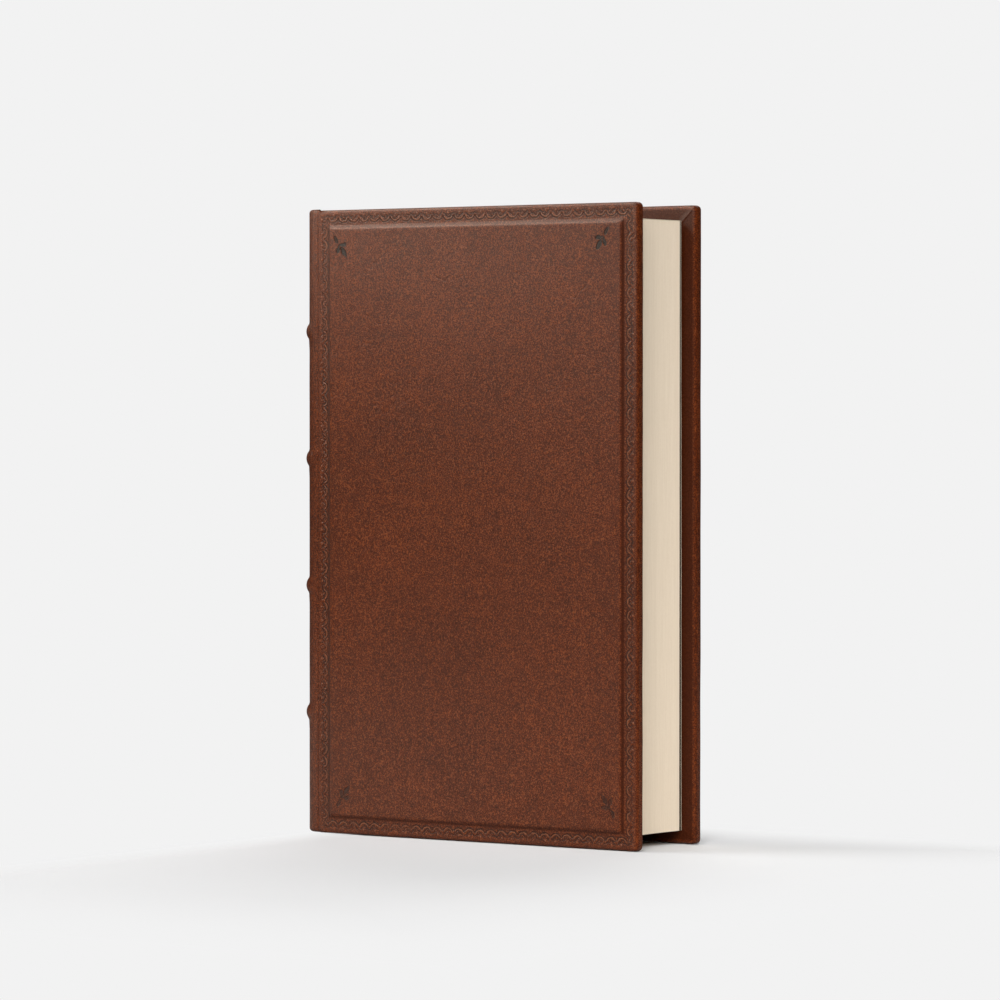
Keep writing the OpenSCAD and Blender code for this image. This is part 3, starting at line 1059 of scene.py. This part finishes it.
def floorFinish():
    n = Nodes("studioFloor")
    seenDirectly = n.add("ShaderNodeLightPath").outputs["Is Camera Ray"]
    tone = (studio["floor"],) * 3 + (1,)
    n.finish(n.mix(seenDirectly, studio["floorBounce"], tone), None, 1, 0)
    # away from the book the floor runs into the plain background
    x, y, _ = n.split()
    ways = (x, n.times(x, -1), y, n.times(y, -1))
    away, *rest = [n.ramp(way, *span) for way, span in zip(ways, studio["fade"])]
    for share in rest:
        away = n.maths("MAXIMUM", away, share)
    plain = n.add("ShaderNodeEmission")
    plain.inputs["Color"].default_value = studio["background"]
    blend = n.add("ShaderNodeMixShader")
    n.link(n.times(away, seenDirectly), blend.inputs[0])
    n.link(n.shader.outputs[0], blend.inputs[1])
    n.link(plain.outputs[0], blend.inputs[2])
    n.link(blend.outputs[0], n.tree.nodes["Material Output"].inputs["Surface"])
    return n.material


def makeFloor():
    r, sides = studio["floorRadius"], studio["floorSides"]
    turns = [math.radians(360 / sides * k) for k in range(sides)]
    mesh = bpy.data.meshes.new("studioFloor")
    mesh.from_pydata([(r * math.cos(a), r * math.sin(a), 0) for a in turns], [], [tuple(range(sides))])
    mesh.materials.append(floorFinish())
    floor = bpy.data.objects.new("studioFloor", mesh)
    bpy.context.scene.collection.objects.link(floor)
    floor.location.z = -studio["floorDrop"]


def makeWorld():
    world = bpy.data.worlds.new("studioWorld")
    world.use_nodes = True
    bpy.context.scene.world = world
    tree = world.node_tree
    back = tree.nodes["Background"]
    back.inputs["Color"].default_value = (1, 1, 1, 1)
    back.inputs["Strength"].default_value = studio["world"]
    seen = tree.nodes.new("ShaderNodeBackground")
    seen.inputs["Color"].default_value = studio["background"]
    seen.inputs["Strength"].default_value = 1
    path = tree.nodes.new("ShaderNodeLightPath")
    mix = tree.nodes.new("ShaderNodeMixShader")
    tree.links.new(path.outputs["Is Camera Ray"], mix.inputs[0])
    tree.links.new(back.outputs[0], mix.inputs[1])
    tree.links.new(seen.outputs[0], mix.inputs[2])
    tree.links.new(mix.outputs[0], tree.nodes["World Output"].inputs["Surface"])


def addLamp(name, lamp, source):
    light = bpy.data.objects.new(name, lamp)
    light.rotation_euler = Vector(source).to_track_quat("Z", "Y").to_euler()
    bpy.context.scene.collection.objects.link(light)
    return light


def makeLamps():
    for name, strength, angle, source in studio["suns"]:
        lamp = bpy.data.lights.new(name, "SUN")
        lamp.energy = strength
        lamp.angle = math.radians(angle)
        sun = addLamp(name, lamp, source)
        sun.visible_glossy = name == studio["sheenSun"]
    for name, watts, size, place, aim in studio["strips"]:
        lamp = bpy.data.lights.new(name, "AREA")
        lamp.shape = "RECTANGLE"
        lamp.size, lamp.size_y = size
        lamp.energy = watts
        lamp.color = studio["sheenColour"]
        strip = addLamp(name, lamp, Vector(place) - Vector(aim))
        strip.location = place
        strip.visible_camera = False
        strip.visible_diffuse = False


makeFloor()
makeWorld()
makeLamps()
bpy.context.scene.view_settings.view_transform = "Standard"
print("studio lit")
